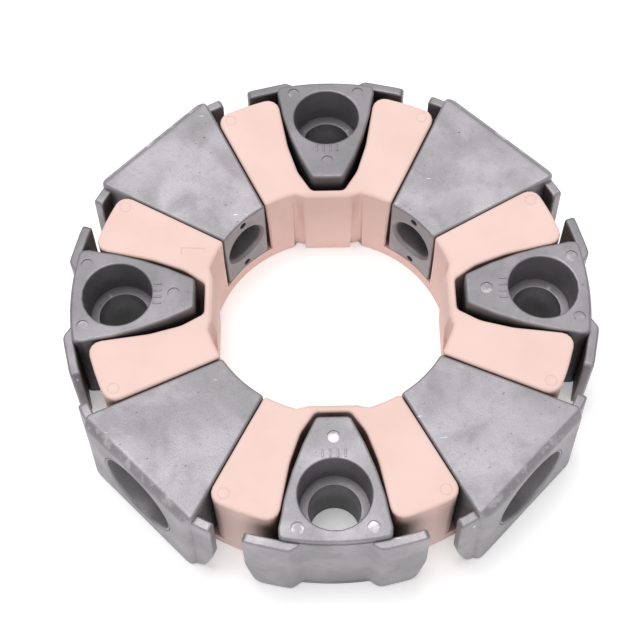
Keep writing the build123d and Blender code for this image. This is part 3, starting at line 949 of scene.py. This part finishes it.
class CouplingColours(PropertyGroup):
    """Colours of the coupling element."""

    ring_light: FloatVectorProperty(
        name="Ring light",
        description="Lighter tone of the elastomer",
        default=(0.83, 0.605, 0.55), subtype="COLOR", min=0.0, max=1.0,
    )
    ring_dark: FloatVectorProperty(
        name="Ring dark",
        description="Darker tone of the elastomer",
        default=(0.80, 0.565, 0.505), subtype="COLOR", min=0.0, max=1.0,
    )
    # Painted shade: this tone stands in for the shade deep in the ring's gaps; it also tints the
    # faint moulded marks.
    ring_shade: FloatVectorProperty(
        name="Ring shade",
        description="Tone of the elastomer deep in gaps",
        default=(0.17, 0.075, 0.05), subtype="COLOR", min=0.0, max=1.0,
    )
    metal_light: FloatVectorProperty(
        name="Casting light",
        description="Lighter tone of the castings",
        default=(0.395, 0.372, 0.397), subtype="COLOR", min=0.0, max=1.0,
    )
    metal_dark: FloatVectorProperty(
        name="Casting dark",
        description="Darker tone of the castings",
        default=(0.338, 0.324, 0.342), subtype="COLOR", min=0.0, max=1.0,
    )
    metal_stain: FloatVectorProperty(
        name="Casting stain",
        description="Tone of stains on the castings",
        default=(0.23, 0.225, 0.23), subtype="COLOR", min=0.0, max=1.0,
    )
    metal_nick: FloatVectorProperty(
        name="Casting nick",
        description="Tone of fresh scratches",
        default=(0.85, 0.84, 0.85), subtype="COLOR", min=0.0, max=1.0,
    )
    metal_worn: FloatVectorProperty(
        name="Casting worn",
        description="Tone of rubbed metal",
        default=(0.58, 0.565, 0.575), subtype="COLOR", min=0.0, max=1.0,
    )
    floor: FloatVectorProperty(
        name="Floor",
        description="Colour of the floor",
        default=(0.93, 0.93, 0.93), subtype="COLOR", min=0.0, max=1.0,
    )


# ---------------------------------------------------------------- operators


class COUPLING_OT_ring(Operator):
    """Builds the elastomer ring, which shears between the two sets of inserts"""

    bl_idname = "coupling.ring"
    bl_label = "Elastomer ring"

    def execute(self, context):
        size = Sizes(context.scene.coupling_sizes)
        patches = []
        for angle in AXIAL_ANGLES.values():
            patches += turned(pad_pair(size), angle)
        for angle in RADIAL_ANGLES.values():
            patches += turned(web(size), angle)
        ring = make_piece("ring_body", make_mesh("ring_body", patches))
        ring.data.materials.append(elastomer(context.scene.coupling_colours))
        # The ring's pads repeat each 45 degrees, so `local` is folded to the nearest axial axis.
        co = np.empty(len(ring.data.vertices) * 3, np.float32)
        ring.data.vertices.foreach_get("co", co)
        co = co.reshape(-1, 3)
        angle = np.degrees(np.arctan2(co[:, 1], co[:, 0]))
        off = np.abs((angle + 45.0) % 90.0 - 45.0)
        r = np.linalg.norm(co[:, :2], axis=1)
        folded = np.stack([r * np.cos(np.radians(off)), r * np.sin(np.radians(off)), co[:, 2]], -1)
        folded = folded.astype(np.float32).reshape(-1)
        ring.data.attributes["local"].data.foreach_set("vector", folded)
        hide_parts("elastic_ring")
        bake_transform(ring)
        return {"FINISHED"}


class COUPLING_OT_axial_inserts(Operator):
    """Builds the four upright-screw inserts with their curved outer plates"""

    bl_idname = "coupling.axial_inserts"
    bl_label = "Axial inserts"

    def execute(self, context):
        size = Sizes(context.scene.coupling_sizes)
        block = flared(axial_block(size), size, size.plate_draft, 96.2, 100.2)
        plate = curved_plate(size.plate, 100.0, 18.85, size.height - 3.0, 3.5, recess=12.2)
        trim = flared(plate, size, size.plate_draft, 90.0, 95.0)
        for k in range(4):
            trim += bar(67.0, -4.2 + 2.8 * k, 1.7, 0.4, size.height - 0.5, size.height)
        discs = [cylinder((u, v, size.height - 0.75), "Z", 2.45, 2.0) for u, v in EJECTORS]
        for side, angle in AXIAL_ANGLES.items():
            meshes = [drilled(block, discs), make_mesh("trim", trim)]
            piece = make_piece(f"axial_casting_{side}", joined(meshes, angle), angle)
            metal = axial_metal(side, *AXIAL_TONES[side], context.scene.coupling_colours)
            piece.data.materials.append(metal)
            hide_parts(f"axial_insert_{side}")
            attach(piece, f"screw_side_{side}")
        return {"FINISHED"}


class COUPLING_OT_radial_inserts(Operator):
    """Builds the four side-screw inserts with their worn faces and curved wings"""

    bl_idname = "coupling.radial_inserts"
    bl_label = "Radial inserts"

    def execute(self, context):
        size = Sizes(context.scene.coupling_sizes)
        metal = radial_metal(context.scene.coupling_colours, size)
        wing = curved_plate(size.side_plate, 101.0, 19.8, size.height - 3.5, 5.0, start=WING_START)
        wing = flared(wing, size, size.face_draft, 90.0, 95.0)
        pins = [cylinder((size.bore - 4.0, 0.0, z), "X", 1.6, 12.0) for z in PIN_HEIGHTS]
        for side, angle in RADIAL_ANGLES.items():
            meshes = [drilled(radial_block(size), pins), make_mesh("wings", wing + mirror(wing))]
            piece = make_piece(f"radial_casting_{side}", joined(meshes, angle), angle)
            piece.data.materials.append(metal)
            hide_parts(f"radial_insert_{side}")
            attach(piece, "hub_side")
        return {"FINISHED"}


class COUPLING_OT_stage(Operator):
    """Builds the floor, the soft lights and the camera"""

    bl_idname = "coupling.stage"
    bl_label = "Stage"

    def execute(self, context):
        scene = context.scene
        mesh = bpy.data.meshes.new("floor")
        square = ((-1, -1), (1, -1), (1, 1), (-1, 1))
        corners = [(FLOOR_REACH * x, FLOOR_REACH * y, 0.0) for x, y in square]
        mesh.from_pydata(corners, [], [(0, 1, 2, 3)])
        floor = bpy.data.objects.new("floor", mesh)
        scene.collection.objects.link(floor)
        pale = Nodes("floor_pale")
        pale.shader.inputs["Base Color"].default_value = rgba(scene.coupling_colours.floor)
        pale.shader.inputs["Roughness"].default_value = 0.9
        pale.shader.inputs["Emission Color"].default_value = (1.0, 1.0, 1.0, 1.0)
        pale.shader.inputs["Emission Strength"].default_value = FLOOR_GLOW
        mesh.materials.append(pale.material)
        for name, spot, power in LIGHTS:
            data = bpy.data.lights.new(name, "AREA")
            data.shape = "DISK"
            data.size = LIGHT_WIDTH
            data.energy = power
            lamp = bpy.data.objects.new(name, data)
            lamp.location = spot
            lamp.rotation_mode = "QUATERNION"
            lamp.rotation_quaternion = (-Vector(spot)).to_track_quat("-Z", "Y")
            scene.collection.objects.link(lamp)
        world = bpy.data.worlds.new("studio")
        world.use_nodes = True
        sky = world.node_tree.nodes["Background"]
        sky.inputs["Color"].default_value = (1.0, 1.0, 1.0, 1.0)
        sky.inputs["Strength"].default_value = SKY_STRENGTH
        scene.world = world
        scene.view_settings.view_transform = "Standard"
        camera = bpy.data.objects.new("camera", bpy.data.cameras.new("camera"))
        scene.collection.objects.link(camera)
        azimuth, elevation, roll = (math.radians(angle) for angle in CAMERA_ANGLES)
        level = math.cos(elevation)
        back = Vector((math.sin(azimuth) * level, -math.cos(azimuth) * level, math.sin(elevation)))
        camera.location = Vector(CAMERA_TARGET) + back * CAMERA_DISTANCE
        camera.rotation_mode = "QUATERNION"
        leaned = Quaternion((0.0, 0.0, 1.0), roll)
        camera.rotation_quaternion = (-back).to_track_quat("-Z", "Y") @ leaned
        camera.data.sensor_width = 36.0
        camera.data.lens = CAMERA_LENS
        camera.data.clip_start = 0.01
        camera.data.clip_end = 20.0
        scene.camera = camera
        return {"FINISHED"}


class COUPLING_PT_panel(Panel):
    """Lists the sizes, the colours and the building steps"""

    bl_idname = "COUPLING_PT_panel"
    bl_label = "Jaw coupling element"
    bl_space_type = "VIEW_3D"
    bl_region_type = "UI"
    bl_category = "Coupling"

    def draw(self, context):
        """Draws the settings and one button for each building step."""
        for group in (context.scene.coupling_sizes, context.scene.coupling_colours):
            column = self.layout.column()
            for key in group.__annotations__:
                column.prop(group, key)
        for step in STEPS:
            self.layout.operator(step.bl_idname)


STEPS = (COUPLING_OT_ring, COUPLING_OT_axial_inserts, COUPLING_OT_radial_inserts, COUPLING_OT_stage)
CLASSES = (CouplingSizes, CouplingColours, *STEPS, COUPLING_PT_panel)


def register():
    """Registers the classes and puts the settings on the scene."""
    for one in CLASSES:
        bpy.utils.register_class(one)
    bpy.types.Scene.coupling_sizes = PointerProperty(type=CouplingSizes)
    bpy.types.Scene.coupling_colours = PointerProperty(type=CouplingColours)


def unregister():
    """Takes the settings off the scene and unregisters the classes."""
    del bpy.types.Scene.coupling_colours
    del bpy.types.Scene.coupling_sizes
    for one in reversed(CLASSES):
        bpy.utils.unregister_class(one)


def main():
    """Builds everything in order."""
    register()
    bpy.ops.coupling.ring()
    bpy.ops.coupling.axial_inserts()
    bpy.ops.coupling.radial_inserts()
    bpy.ops.coupling.stage()


if __name__ == "__main__":
    main()
